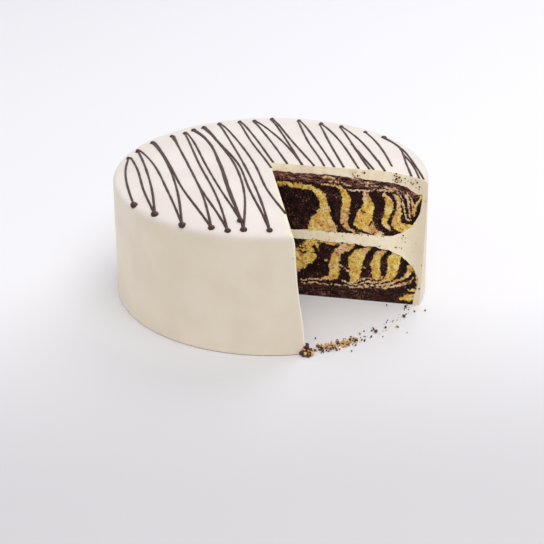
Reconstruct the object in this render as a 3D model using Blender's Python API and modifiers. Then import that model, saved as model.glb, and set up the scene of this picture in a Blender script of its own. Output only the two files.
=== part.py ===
"""Two-layer round cake with one slice cut out, for Blender 4.5. Metres, +Z up.

The origin is on the cake's axis at its base, and the view it was drawn for looks along +Y.
Two sponge layers lie on each other with a cream filling between them. Cream frosting covers
the top and the side, and carries a chocolate drizzle that zigzags over the top.
"""

import bisect
import math

import bmesh
import bpy
from mathutils import Vector

# Sponge layers
SPONGE_RADIUS = 0.1165
LOWER_TOP = 0.0433
LOWER_DROP = 0.0018
LOWER_SHOULDER = (0.040, 0.022)
LOWER_FOOT = (0.0015, 0.0015)
UPPER_BOTTOM = 0.0500
UPPER_TOP = 0.0928
UPPER_DROP = 0.0043
UPPER_SHOULDER = (0.011, 0.006)
UPPER_FOOT = (0.028, 0.026)

# Cream
GAP = 0.0003
LIP = 0.0007
FROSTING_BASE = 0.0005
BASE_RADIUS = 0.1215
RIM_RADIUS = 0.1203
RIM_ROUND = 0.0040
RIM_HEIGHT = 0.0899
RIM_START = 76.0
TOP_HEIGHT = 0.0985
TOP_FALL = 0.0055
FALL_START = 0.080
FALL_WIDTH = 0.040

# The missing slice: each cut is a leaning plane, given by the azimuth of its trace,
# by how far the trace lies from the axis at the top, and by how far it shifts at the base
RIGHT_AZIMUTH = -12.25
RIGHT_TOP_SHIFT = 0.0032
RIGHT_BASE_SHIFT = -0.0206
LEFT_AZIMUTH = -83.3
LEFT_TOP_SHIFT = -0.0004
LEFT_BASE_SHIFT = 0.0099
CUTTER_REACH = 0.22
CUTTER_MARGIN = 0.02

# Drizzle: x and y of each loop's back tip, then for its left and its right stroke the x at
# which it crosses y = 0.05, y = 0 and y = -0.05. Loops near the cake's left side turn before
# y = 0.05. Front tips lie between the loops, and end where the missing slice starts. Side
# strokes are short lines of their own, and the first one starts with a drop.
CROSSINGS = (0.050, 0.0, -0.050)
STROKE_RADIUS = 0.0010
STROKE_LIFT = 0.0001
BLOB_RADIUS = 0.0022
BLOB_FLATNESS = 0.62
LOOPS = (
    (-0.1109, 0.0243, (None, -0.1108, -0.1026), (None, -0.1024, -0.0920)),
    (-0.1045, 0.0379, (None, -0.0959, -0.0865), (None, -0.0887, -0.0753)),
    (-0.0943, 0.0552, (None, -0.0783, -0.0684), (None, -0.0770, -0.0635)),
    (-0.0796, 0.0674, (-0.0754, -0.0630, -0.0512), (-0.0748, -0.0628, -0.0504)),
    (-0.0692, 0.0723, (-0.0649, -0.0542, -0.0418), (-0.0613, -0.0495, -0.0365)),
    (-0.0626, 0.0793, (-0.0500, -0.0390, -0.0312), (-0.0495, -0.0380, -0.0300)),
    (-0.0545, 0.0849, (-0.0425, -0.0275, -0.0198), (-0.0418, -0.0245, -0.0155)),
    (-0.0420, 0.0941, (-0.0320, -0.0203, -0.0105), (-0.0259, -0.0122, -0.0027)),
    (-0.0254, 0.0984, (-0.0156, -0.0015, 0.0100), (-0.0102, 0.0030, 0.0180)),
    (-0.0132, 0.0996, (0.0000, 0.0128, 0.0240), (0.0090, 0.0238, 0.0350)),
    (0.0014, 0.1057, (0.0130, 0.0234, 0.0320), (0.0169, 0.0319, 0.0460)),
    (0.0238, 0.1015, (0.0295, 0.0399, 0.0460), (0.0364, 0.0469, 0.0570)),
    (0.0418, 0.0920, (0.0459, 0.0541, 0.0620), (0.0547, 0.0646, 0.0730)),
    (0.0583, 0.0863, (0.0631, 0.0721, 0.0830), (0.0711, 0.0829, 0.0920)),
    (0.0915, 0.0644, (0.0983, 0.1040, 0.1070), (0.0990, 0.1111, 0.1180)),
)
HAIRPIN = 0.0030
FRONT_TIPS = (
    (-0.0989, -0.0642), (-0.0825, -0.0819), (-0.0622, -0.1000), (-0.0415, -0.1070),
    (-0.0300, -0.1114), (-0.0214, -0.1007), (-0.0190, -0.1113), (-0.0012, -0.1129),
    (0.0150, -0.1060),
)
SIDE_STROKES = (
    ((0.0771, 0.0743), (0.0835, 0.0500), (0.0880, 0.0260), (0.0920, -0.0050)),
    ((0.0640, 0.0420), (0.0705, 0.0160), (0.0780, -0.0140)),
    ((0.0822, 0.0060), (0.0838, -0.0040), (0.0880, -0.0250)),
    ((0.1030, 0.0250), (0.1084, 0.0036), (0.1115, -0.0280)),
)

# Finish
SPONGE_COLOUR = (0.30, 0.13, 0.06)
SPONGE_ROUGHNESS = 0.9
CREAM_COLOUR = (0.82, 0.76, 0.64)
FROSTING_COLOUR = (0.86, 0.83, 0.77)
CREAM_ROUGHNESS = 0.55

# Facets
SLICES = 48
CROWN_STEPS = 4
CORNER_STEPS = 5
RIM_STEPS = 4
FALL_STEPS = 4
CURVE_STEPS = 24
STROKE_POINTS = 12
BLOB_SIDES = 6
BLOB_RINGS = 4
MERGE = 0.00001


def clear_scene():
    for thing in list(bpy.data.objects):
        bpy.data.objects.remove(thing, do_unlink=True)


def new_collection(name):
    group = bpy.data.collections.new(name)
    bpy.context.scene.collection.children.link(group)
    return group


def move_to(thing, group):
    for old in list(thing.users_collection):
        old.objects.unlink(thing)
    group.objects.link(thing)


def plain_material(name, colour, roughness):
    material = bpy.data.materials.new(name)
    material.use_nodes = True
    shader = material.node_tree.nodes["Principled BSDF"]
    shader.inputs["Base Color"].default_value = (*colour, 1.0)
    shader.inputs["Roughness"].default_value = roughness
    shader.inputs["Metallic"].default_value = 0.0
    return material


def arc(centre, reach, start, end, steps):
    """Points on a quarter of an ellipse about centre, angles in degrees."""
    points = []
    for step in range(steps + 1):
        angle = math.radians(start + (end - start) * step / steps)
        points.append((
            centre[0] + reach[0] * math.cos(angle),
            centre[1] + reach[1] * math.sin(angle),
        ))
    return points


def shoulder_centre(top, drop, shoulder):
    return SPONGE_RADIUS - shoulder[0], top - drop - shoulder[1]


def crown(top, drop, flat_reach):
    """Points from the axis to the shoulder of a top that falls slowly."""
    points = []
    for step in range(CROWN_STEPS):
        share = step / CROWN_STEPS
        points.append((flat_reach * share, top - drop * share ** 3))
    return points


def lip_angle(width):
    """Angle on a corner of this width at which it is LIP short of the full radius."""
    return math.degrees(math.acos(1.0 - LIP / width))


def sponge_outline(bottom, top, drop, shoulder, foot):
    """Half section of a sponge layer, from the axis at the top round to the base."""
    upper = shoulder_centre(top, drop, shoulder)
    lower = (SPONGE_RADIUS - foot[0], bottom + foot[1])
    outline = crown(top, drop, upper[0])
    outline += arc(upper, shoulder, 90, lip_angle(shoulder[0]), CORNER_STEPS)
    outline.append((SPONGE_RADIUS, upper[1]))
    outline.append((SPONGE_RADIUS, lower[1]))
    outline += arc(lower, foot, -lip_angle(foot[0]), -90, CORNER_STEPS)
    outline.append((0.0, bottom))
    return outline


def filling_outline():
    """Half section of the filling, which fills the rounded corners of both layers."""
    above = (SPONGE_RADIUS - UPPER_FOOT[0], UPPER_BOTTOM + UPPER_FOOT[1])
    below = shoulder_centre(LOWER_TOP, LOWER_DROP, LOWER_SHOULDER)
    reach_above = (UPPER_FOOT[0], UPPER_FOOT[1] + GAP)
    reach_below = (LOWER_SHOULDER[0], LOWER_SHOULDER[1] + GAP)
    outline = [(0.0, UPPER_BOTTOM - GAP)]
    corner = arc(above, reach_above, -90, -lip_angle(UPPER_FOOT[0]), CORNER_STEPS)
    outline += corner
    outline.append((SPONGE_RADIUS, corner[-1][1]))
    corner = arc(below, reach_below, lip_angle(LOWER_SHOULDER[0]), 90, CORNER_STEPS)
    outline.append((SPONGE_RADIUS, corner[0][1]))
    outline += corner
    outline += [(r, z + GAP) for r, z in reversed(crown(LOWER_TOP, LOWER_DROP, below[0]))]
    return outline


def top_surface(radius):
    """Height of the frosting's top at a distance from the axis."""
    past = max(0.0, radius - FALL_START) / FALL_WIDTH
    return TOP_HEIGHT - TOP_FALL * past ** 2


def frosting_outline():
    """Half section of the coat: its outside down to the base, then its inside back up."""
    rim_centre = (RIM_RADIUS - RIM_ROUND, RIM_HEIGHT)
    rim = arc(rim_centre, (RIM_ROUND, RIM_ROUND), RIM_START, 0, RIM_STEPS)
    outline = [(0.0, TOP_HEIGHT)]
    for step in range(FALL_STEPS):
        radius = FALL_START + (rim[0][0] - FALL_START) * step / FALL_STEPS
        outline.append((radius, top_surface(radius)))
    outline += rim
    outline.append((BASE_RADIUS, FROSTING_BASE))
    outline.append((SPONGE_RADIUS + GAP, FROSTING_BASE))
    centre = shoulder_centre(UPPER_TOP, UPPER_DROP, UPPER_SHOULDER)
    reach = (UPPER_SHOULDER[0] + GAP, UPPER_SHOULDER[1] + GAP)
    outline.append((SPONGE_RADIUS + GAP, centre[1]))
    outline += arc(centre, reach, lip_angle(UPPER_SHOULDER[0]), 90, CORNER_STEPS)
    crown_points = crown(UPPER_TOP, UPPER_DROP, centre[0])
    outline += [(r, z + GAP) for r, z in reversed(crown_points)]
    return outline


def turned(name, outline, group):
    """A solid of revolution about Z from a half section that starts and ends on the axis."""
    mesh = bpy.data.meshes.new(name)
    points = [(r, 0.0, z) for r, z in outline]
    edges = [(index, index + 1) for index in range(len(points) - 1)]
    mesh.from_pydata(points, edges, [])
    thing = bpy.data.objects.new(name, mesh)
    group.objects.link(thing)
    screw = thing.modifiers.new("turn", "SCREW")
    screw.axis = "Z"
    screw.angle = 2.0 * math.pi
    screw.steps = SLICES
    screw.render_steps = SLICES
    screw.use_merge_vertices = True
    screw.merge_threshold = MERGE
    weld = thing.modifiers.new("weld", "WELD")
    weld.merge_threshold = MERGE
    return thing


def trace(azimuth, top_shift, base_shift, height):
    """A point of a cut plane at a height, and the level direction in which the cut runs out."""
    angle = math.radians(azimuth)
    along = Vector((math.cos(angle), math.sin(angle), 0.0))
    across = Vector((-along.y, along.x, 0.0))
    shift = base_shift + (top_shift - base_shift) * height / TOP_HEIGHT
    return across * shift + Vector((0.0, 0.0, height)), along


def slice_corners(height):
    """The missing slice's four corners at a height: the point, right, far and left."""
    right_point, right_way = trace(RIGHT_AZIMUTH, RIGHT_TOP_SHIFT, RIGHT_BASE_SHIFT, height)
    left_point, left_way = trace(LEFT_AZIMUTH, LEFT_TOP_SHIFT, LEFT_BASE_SHIFT, height)
    between = left_point - right_point
    turn = right_way.x * left_way.y - right_way.y * left_way.x
    along_right = (between.x * left_way.y - between.y * left_way.x) / turn
    tip = right_point + right_way * along_right
    right = tip + right_way * CUTTER_REACH
    left = tip + left_way * CUTTER_REACH
    return tip, right, right + left - tip, left


def slice_cutter(group):
    """A cube whose corners are moved to the two cut planes."""
    bpy.ops.mesh.primitive_cube_add(size=2.0)
    cutter = bpy.context.object
    cutter.name = "missing slice"
    move_to(cutter, group)
    order = {(-1, 1): 0, (1, 1): 1, (1, -1): 2, (-1, -1): 3}
    for vertex in cutter.data.vertices:
        side = (round(vertex.co.x), round(vertex.co.y))
        height = TOP_HEIGHT + CUTTER_MARGIN if vertex.co.z > 0 else -CUTTER_MARGIN
        vertex.co = slice_corners(height)[order[side]]
    cutter.hide_render = True
    cutter.display_type = "WIRE"
    return cutter


def cut_out(thing, cutter):
    cut = thing.modifiers.new("missing slice", "BOOLEAN")
    cut.operation = "DIFFERENCE"
    cut.object = cutter


def smooth_points(knots):
    """Close points on a smooth curve through knots that lie unevenly far apart."""
    gaps = [(after - before).length for before, after in zip(knots, knots[1:])]
    slopes = [(knots[index + 1] - knots[index]) / gap for index, gap in enumerate(gaps)]
    ways = []
    for index in range(1, len(slopes)):
        near, far = gaps[index - 1], gaps[index]
        ways.append((slopes[index - 1] * far + slopes[index] * near) / (near + far))
    first = 1.5 * slopes[0] - 0.5 * ways[0]
    last = 1.5 * slopes[-1] - 0.5 * ways[-1]
    ways = [first, *ways, last]
    points = []
    for index, gap in enumerate(gaps):
        for step in range(CURVE_STEPS):
            t = step / CURVE_STEPS
            points.append(
                knots[index] * (2 * t ** 3 - 3 * t ** 2 + 1)
                + knots[index + 1] * (3 * t ** 2 - 2 * t ** 3)
                + ways[index] * gap * (t ** 3 - 2 * t ** 2 + t)
                + ways[index + 1] * gap * (t ** 3 - t ** 2)
            )
    return points + [knots[-1]]


def even_points(points, count):
    """Points at even distances along a line of close points."""
    lengths = [0.0]
    for before, after in zip(points, points[1:]):
        lengths.append(lengths[-1] + (after - before).length)
    chosen = []
    for step in range(count):
        wanted = lengths[-1] * step / (count - 1)
        chosen.append(points[min(bisect.bisect_left(lengths, wanted), len(points) - 1)])
    return chosen


def stroke_knots(back, across, tip_index):
    """A stroke's knots from its back tip over its crossings to its front tip, if it has one."""
    knots = [back]
    for x, y in zip(across, CROSSINGS):
        if x is not None:
            knots.append(Vector((x, y)))
    if tip_index < len(FRONT_TIPS):
        knots.append(Vector(FRONT_TIPS[tip_index]))
    return knots


def drizzle_strokes():
    """Knots of every stroke: two for each loop, and those that lie beside the loops."""
    strokes = []
    for index, (x, y, left, right) in enumerate(LOOPS):
        back = Vector((x, y))
        side = Vector((HAIRPIN / 2, 0.0))
        strokes.append(stroke_knots(back - side, left, index))
        strokes.append(stroke_knots(back + side, right, index + 1))
    for knots in SIDE_STROKES:
        strokes.append([Vector(knot) for knot in knots])
    return strokes


def on_top(point):
    height = top_surface(point.length) + STROKE_LIFT
    return Vector((point.x, point.y, height))


def stroke_solid(name, knots, group):
    """A round bead laid along the knots on the frosting, as a closed mesh."""
    points = [on_top(point) for point in even_points(smooth_points(knots), STROKE_POINTS)]
    data = bpy.data.curves.new(name, "CURVE")
    data.dimensions = "3D"
    data.bevel_depth = STROKE_RADIUS
    data.bevel_resolution = 0
    data.use_fill_caps = True
    spline = data.splines.new("POLY")
    spline.points.add(len(points) - 1)
    for target, point in zip(spline.points, points):
        target.co = (*point, 1.0)
    curve = bpy.data.objects.new(name + " curve", data)
    group.objects.link(curve)
    graph = bpy.context.evaluated_depsgraph_get()
    mesh = bpy.data.meshes.new_from_object(curve.evaluated_get(graph))
    shape = bmesh.new()
    shape.from_mesh(mesh)
    bmesh.ops.remove_doubles(shape, verts=shape.verts, dist=MERGE)
    shape.to_mesh(mesh)
    shape.free()
    solid = bpy.data.objects.new(name, mesh)
    solid.matrix_world = curve.matrix_world
    group.objects.link(solid)
    bpy.data.objects.remove(curve, do_unlink=True)
    return solid


def blob_solid(name, place, group):
    """The drop that a stroke leaves where it turns."""
    bpy.ops.mesh.primitive_uv_sphere_add(
        segments=BLOB_SIDES, ring_count=BLOB_RINGS, radius=BLOB_RADIUS, location=on_top(place)
    )
    blob = bpy.context.object
    blob.name = name
    blob.scale.z = BLOB_FLATNESS
    bpy.ops.object.transform_apply(location=True, rotation=False, scale=True)
    move_to(blob, group)
    return blob


def join_drizzle(frosting, cutter):
    """Fuses every stroke and drop to the frosting, cuts the slice, and clears the strokes."""
    group = new_collection("drizzle")
    for index, knots in enumerate(drizzle_strokes()):
        stroke_solid(f"stroke {index}", knots, group)
    drops = [loop[:2] for loop in LOOPS] + list(FRONT_TIPS) + [SIDE_STROKES[0][0]]
    for index, place in enumerate(drops):
        blob_solid(f"drop {index}", Vector(place), group)
    union = frosting.modifiers.new("drizzle", "BOOLEAN")
    union.operation = "UNION"
    union.operand_type = "COLLECTION"
    union.collection = group
    cut_out(frosting, cutter)
    bpy.context.view_layer.update()
    graph = bpy.context.evaluated_depsgraph_get()
    fused = bpy.data.meshes.new_from_object(frosting.evaluated_get(graph))
    frosting.modifiers.clear()
    frosting.data = fused
    keep_main_body(fused)
    for thing in list(group.objects):
        bpy.data.objects.remove(thing, do_unlink=True)
    bpy.data.collections.remove(group)


def island(start):
    """All faces that a face reaches across shared edges."""
    found = {start}
    edge_of_search = [start]
    while edge_of_search:
        face = edge_of_search.pop()
        for edge in face.edges:
            for other in edge.link_faces:
                if other not in found:
                    found.add(other)
                    edge_of_search.append(other)
    return found


def keep_main_body(mesh):
    """Fills the hollows that the strokes seal between them, and drops loose scraps."""
    shape = bmesh.new()
    shape.from_mesh(mesh)
    waiting = set(shape.faces)
    bodies = []
    while waiting:
        body = island(next(iter(waiting)))
        waiting -= body
        bodies.append(body)
    bodies.sort(key=len)
    extra = [face for body in bodies[:-1] for face in body]
    bmesh.ops.delete(shape, geom=extra, context="FACES")
    shape.to_mesh(mesh)
    shape.free()


def finish(thing, material):
    thing.data.materials.clear()
    thing.data.materials.append(material)


def build():
    clear_scene()
    cake = new_collection("layer cake")
    cutters = new_collection("cutters")
    sponge = plain_material("marbled sponge", SPONGE_COLOUR, SPONGE_ROUGHNESS)
    cream = plain_material("cream", CREAM_COLOUR, CREAM_ROUGHNESS)
    coat = plain_material("frosting", FROSTING_COLOUR, CREAM_ROUGHNESS)

    lower_outline = sponge_outline(0.0, LOWER_TOP, LOWER_DROP, LOWER_SHOULDER, LOWER_FOOT)
    upper_outline = sponge_outline(
        UPPER_BOTTOM, UPPER_TOP, UPPER_DROP, UPPER_SHOULDER, UPPER_FOOT
    )
    lower = turned("sponge_lower", lower_outline, cake)
    upper = turned("sponge_upper", upper_outline, cake)
    filling = turned("filling", filling_outline(), cake)
    frosting = turned("frosting", frosting_outline(), cake)

    cutter = slice_cutter(cutters)
    join_drizzle(frosting, cutter)
    finish(frosting, coat)
    for thing, material in ((lower, sponge), (upper, sponge), (filling, cream)):
        finish(thing, material)
        cut_out(thing, cutter)


build()
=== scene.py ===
"""Looks of a round marbled layer cake with one slice cut out, for Blender 4.5. Metres, +Z up.

The origin is on the cake's axis at its base, and the camera looks along +Y. The two sponge
layers, the filling, the icing with its drizzle, and the crumbs are meshes built here. A cut
face is worked out in millimetres: s runs out along the cut from the axis, and z is height.
"""

import math

import bmesh
import bpy
import numpy as np
from mathutils import Euler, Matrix, Quaternion, Vector, kdtree, noise
from mathutils.geometry import delaunay_2d_cdt

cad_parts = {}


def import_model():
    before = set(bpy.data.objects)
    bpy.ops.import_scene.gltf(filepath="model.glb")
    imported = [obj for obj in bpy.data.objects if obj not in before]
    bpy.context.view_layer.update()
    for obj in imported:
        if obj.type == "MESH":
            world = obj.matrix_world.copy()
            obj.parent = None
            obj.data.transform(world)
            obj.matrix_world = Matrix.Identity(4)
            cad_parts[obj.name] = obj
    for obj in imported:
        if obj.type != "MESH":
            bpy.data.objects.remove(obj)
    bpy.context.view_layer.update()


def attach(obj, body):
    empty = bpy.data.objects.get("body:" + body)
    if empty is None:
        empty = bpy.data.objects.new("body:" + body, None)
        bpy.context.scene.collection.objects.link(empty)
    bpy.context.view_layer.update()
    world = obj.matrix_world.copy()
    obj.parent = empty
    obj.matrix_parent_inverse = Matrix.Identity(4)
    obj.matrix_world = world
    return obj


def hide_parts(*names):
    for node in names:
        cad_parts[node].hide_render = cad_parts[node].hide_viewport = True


MM = 0.001

# Camera
CAMERA_PLACE = (0.0, -0.95075, 0.47773)
CAMERA_AIM = (0.0003, 0.0, 0.0069)
CAMERA_ROLL = -0.46
CAMERA_LENS = 88.54
SENSOR_WIDTH = 36.0

# Cake, as in the solids
SPONGE_RADIUS = 0.1165
LOWER_TOP = 0.0433
LOWER_DROP = 0.0018
LOWER_SHOULDER = (0.040, 0.022)
LOWER_FOOT = (0.0015, 0.0015)
UPPER_BOTTOM = 0.0500
UPPER_TOP = 0.0928
UPPER_DROP = 0.0043
UPPER_SHOULDER = (0.011, 0.006)
UPPER_FOOT = (0.028, 0.026)
GAP = 0.00005
BASE_RADIUS = 0.1213
RIM_RADIUS = 0.1201
RIM_ROUND = 0.0040
RIM_HEIGHT = 0.0899
RIM_START = 76.0
TOP_HEIGHT = 0.0985
TOP_FALL = 0.0055
FALL_START = 0.080
FALL_WIDTH = 0.040

# The missing slice: for each cut the azimuth of its trace, and how far the trace lies from
# the axis at the top and at the base
RIGHT_AZIMUTH = -12.25
RIGHT_TOP_SHIFT = 0.0032
RIGHT_BASE_SHIFT = -0.0206
LEFT_AZIMUTH = -83.3
LEFT_TOP_SHIFT = -0.0004
LEFT_BASE_SHIFT = 0.0099
SWEEP = 360.0 - (RIGHT_AZIMUTH - LEFT_AZIMUTH)

# Light
WORLD_STRENGTH = 0.73
WINDOW_POWER = 11.0
BOX_POWER = 9.2
FILL_POWER = 1.6

# Floor, with painted shade that darkens it towards the front
FLOOR_REACH = 6.0
FLOOR_SHADE_SPAN = (-0.30, 0.02)

# Colours as eight-bit values seen in a picture, or pairs of them that mix unevenly
YELLOW_CRUMB = ((250, 228, 136), (228, 190, 76))
TAN_CRUMB = ((240, 206, 158), (218, 170, 104))
THIN_BAND = (244, 218, 188)
GOLDEN_PATCH = (230, 172, 86)
BROWN_SPECK = (140, 90, 44)
PALE_SPECK = (246, 222, 170)
COCOA_CRUMB = ((23, 10, 11), (50, 24, 23))
COCOA_SPECK = (150, 108, 88)
PRESSED_CRUMB = ((42, 19, 21), (108, 64, 57))
PRESSED_STREAK = (184, 136, 118)
PRESSED_SPECK = (196, 156, 126)
# Painted shade that darkens the crumb in the sponge's pits
PIT_PAINTED_SHADE = (44, 24, 18)
# One icing painted as two: a warmer side colour for painted shade, and a cooler top colour for
# painted light
ICING_SIDE_PAINTED_SHADE = ((235, 224, 205), (230, 218, 197))
ICING_TOP_PAINTED_LIGHT = ((229, 223, 219), (224, 217, 212))
FILLING_CUT = ((254, 246, 222), (249, 237, 208))
ICING_CUT = ((250, 239, 214), (242, 227, 198))
OUTER_CUT = (228, 214, 188)
CREAM_SPECK = (150, 104, 74)
# Painted highlight: a lighter line along the cream's outer edge on the left cut
EDGE_PAINTED_HIGHLIGHT = (251, 246, 233)
CHOCOLATE = ((52, 28, 26), (68, 38, 34))
COCOA_CRUMBS = ((56, 31, 25), (98, 60, 43))
LIGHT_CRUMBS = ((230, 196, 142), (200, 150, 94))
# Painted shade: the floor runs from darker at the front to lighter behind
FLOOR_PAINTED_SHADE = ((203, 204, 210), (235, 237, 244))

# Facets
SHARP_ANGLE = 50.0
ARC_STEPS = 24
SHELL_COLUMNS = 160
SHELL_STEP = 0.0022
SPONGE_STEP = 0.00052
CREAM_STEP = 0.0008
JITTER = 0.22

# Cut faces: the shared border wanders, and the crumb is torn, in millimetres
BORDER_WANDER = 0.55
BORDER_SIZE = 7.0
KNIFE_WAVE = 0.35
KNIFE_SIZE = 16.0
CRUMB_ROUGHNESS = 0.30
CRUMB_SIZE = 1.3
PITS_PER_AREA = 0.09
PIT_RADIUS = (0.5, 2.1)
PIT_DEPTH = (0.25, 1.15)
RELIEF_FADE = 0.8
# How far the left cut's outer edge bulges into the missing slice, as (z, bulge)
LEFT_BULGE = (
    (0.0, 0.0), (12.0, 0.3), (22.0, 0.5), (31.0, 0.3), (42.0, -0.1), (58.0, 0.0), (68.0, 0.4),
    (79.0, 0.9), (87.0, 1.4), (91.0, 1.1), (94.5, 0.3), (97.0, 0.0),
)
LEFT_BULGE_START = (85.0, 112.0)
CREAM_ROUGHNESS = 0.10
CREAM_SIZE = 2.2
WANDER_SEEDS = {"left": 2.0, "right": 1.0}
KNIFE_SEEDS = {"left": 4.0, "right": 3.0}
# Heights over which the icing turns from its side colour with painted shade to its top colour with
# painted light
PAINTED_LIGHT_BLEND = (0.0880, 0.0930)
OUTER_CREAM = (98.0, 118.0)
# Where the painted highlight on the left cut's outer cream edge begins in s, and how it blends in
HIGHLIGHT_PAINT_START = 117.5
HIGHLIGHT_PAINT_BLEND = (0.62, 0.90)
PATTERN_WANDER = 1.2
BEND_SIZE = 4.5
RIPPLE_SIZE = 1.9
BAND_REACH = 4.0
BAND_STEPS = 4
STREAK_SIZE = (5.0, 0.8)
# Places on both cuts where the layers sag or bulge, as (s, z, reach, shift of s, shift of z)
DENTS = (
    (111.5, 85.5, 5.5, 0.0, -5.0), (118.0, 82.5, 3.5, 0.0, 3.0), (117.0, 18.0, 9.0, 1.8, 0.0),
    (18.0, 92.0, 2.5, 0.0, -1.5),
)

# Marbling of the right cut face: light bands as (s, z, half width, warmth), in millimetres.
# Warmth runs from 0 for yellow crumb to 1 for a pinkish tan, and is 1 where it is left out.
UPPER_LIGHT = (
    ((4, 83.4, 1.1, 0.2), (12, 83.6, 1.4, 0.1), (20, 83.2, 1.5, 0.1), (28, 82.6, 1.7, 0.1),
     (33, 81.2, 1.9, 0.2), (37, 79.2, 2.3, 0.2), (39.8, 76.2, 2.8, 0.2), (41.2, 72.5, 2.7, 0.1),
     (41.8, 70, 2.8, 0.2), (42.2, 67, 4.2, 0.4), (42.2, 64, 5.2, 0.4), (41.8, 60, 6.6, 0.3),
     (41.2, 56.5, 8.6, 0.4), (41.5, 53, 10.2, 0.5), (42, 49, 11.5, 0.6)),
    ((40, 85, 0.5), (48, 84.8, 0.6, 0.9), (52, 84.2, 0.9, 0.4), (55.5, 82.7, 1.4, 0.3),
     (57.8, 80, 2.0, 0.3), (59.3, 76, 2.9, 0.3), (59.3, 71, 3.2, 0.4), (58.6, 66, 3.0, 0.7),
     (58, 60, 2.9, 0.8), (58.2, 57, 2.8, 0.8), (60.3, 54.6, 2.1, 0.9), (63.5, 52.6, 1.3),
     (67, 51, 0.7)),
    ((72.8, 81.8, 0.7, 0.9), (74.3, 79, 2.0, 0.9), (75, 76, 2.3, 0.8), (75.8, 73.5, 3.3, 0.4),
     (76, 70, 4.9, 0.2), (75, 66.5, 5.4, 0.1), (73.4, 63, 6.1, 0.0), (72, 60, 6.1, 0.0),
     (73.2, 57, 6.6, 0.2), (76, 54.5, 6.4, 0.5), (81, 52, 4.4, 0.8), (86, 50.5, 2.6, 0.8)),
    ((87.5, 82, 0.6, 0.9), (89.5, 79, 1.7), (91.5, 75, 2.7, 0.9), (92.3, 71, 3.1, 0.3),
     (91, 67, 2.6, 0.2), (89.8, 63, 2.5, 0.2), (89.3, 60, 2.8, 0.2), (91.3, 57, 2.5, 0.6)),
    ((94.5, 81.5, 0.5, 0.9), (98, 78, 1.3, 0.9), (99.3, 74, 1.7, 0.6), (99.6, 70, 2.0, 0.5),
     (98.8, 65, 2.6, 0.4), (98, 60, 3.0, 0.4), (102, 57.2, 3.2, 0.2), (106.5, 56.8, 3.3, 0.1),
     (111, 57.8, 2.0, 0.3)),
    ((97.5, 82.8, 0.4), (101, 79, 0.6), (103.2, 74, 0.6), (104.4, 68, 0.6),
     (106, 64.6, 0.5), (109, 63.8, 0.4)),
    ((102, 84.5, 0.4), (105, 80.5, 0.6), (106.4, 75, 0.7), (107.5, 70, 0.7, 0.9),
     (108.6, 66.5, 0.6, 0.9)),
    ((105.5, 84, 0.4), (108.2, 79.5, 0.6), (109.6, 74, 0.5, 0.8), (110.2, 69, 0.5, 0.8)),
    ((116.6, 83.5, 1.5, 0.1), (115, 80.5, 1.1, 0.2), (113.2, 77, 0.9, 0.5), (111.8, 73, 0.8, 0.8),
     (111.6, 68.5, 0.6, 0.9)),
    ((60, 83, 0.35), (66, 82.6, 0.6), (72, 82.8, 0.4), (80, 83.6, 0.4),
     (88, 84.3, 0.4), (95, 84.2, 0.4)),
    ((74, 86.6, 0.3), (84, 86.4, 0.4), (94, 85.6, 0.4), (101, 84.6, 0.3)),
    ((40, 90, 0.35), (44, 90.4, 0.6), (50, 89.4, 0.35)),
    ((44, 87.6, 0.3), (56, 87.2, 0.4), (62, 86.2, 0.3)),
    ((62.5, 91.4, 0.7), (67, 91, 0.5)),
    ((68, 88.6, 0.3), (76, 88.9, 0.4)),
)
UPPER_DARK = (
    ((91, 82, 0.7), (94.5, 79, 0.9), (96.4, 75, 1.0), (96.2, 70.5, 1.0), (95, 66.5, 1.0),
     (93.2, 63, 1.0), (92.8, 60.5, 1.1), (94.3, 57.5, 1.1), (96.6, 55, 1.3), (99, 53.4, 0.9)),
    ((53.2, 57, 1.0), (55.4, 54.6, 1.3), (59, 52.3, 1.3), (63, 50.8, 1.2), (66.5, 50, 0.8)),
    ((63.6, 58, 1.8), (66, 54.9, 1.5), (70, 52.6, 1.3), (76, 51.1, 1.1), (81, 50.2, 0.8)),
    ((84.5, 59, 3.0), (86.5, 56, 2.4), (90, 54.4, 1.9), (94, 53.6, 1.0)),
    ((71.6, 67.4, 0.8), (73.2, 67.0, 0.7)),
    ((56.8, 56.2, 0.6), (57.6, 56.4, 0.5)),
    ((78, 57.5, 0.6), (79.5, 60, 0.5)),
)
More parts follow.
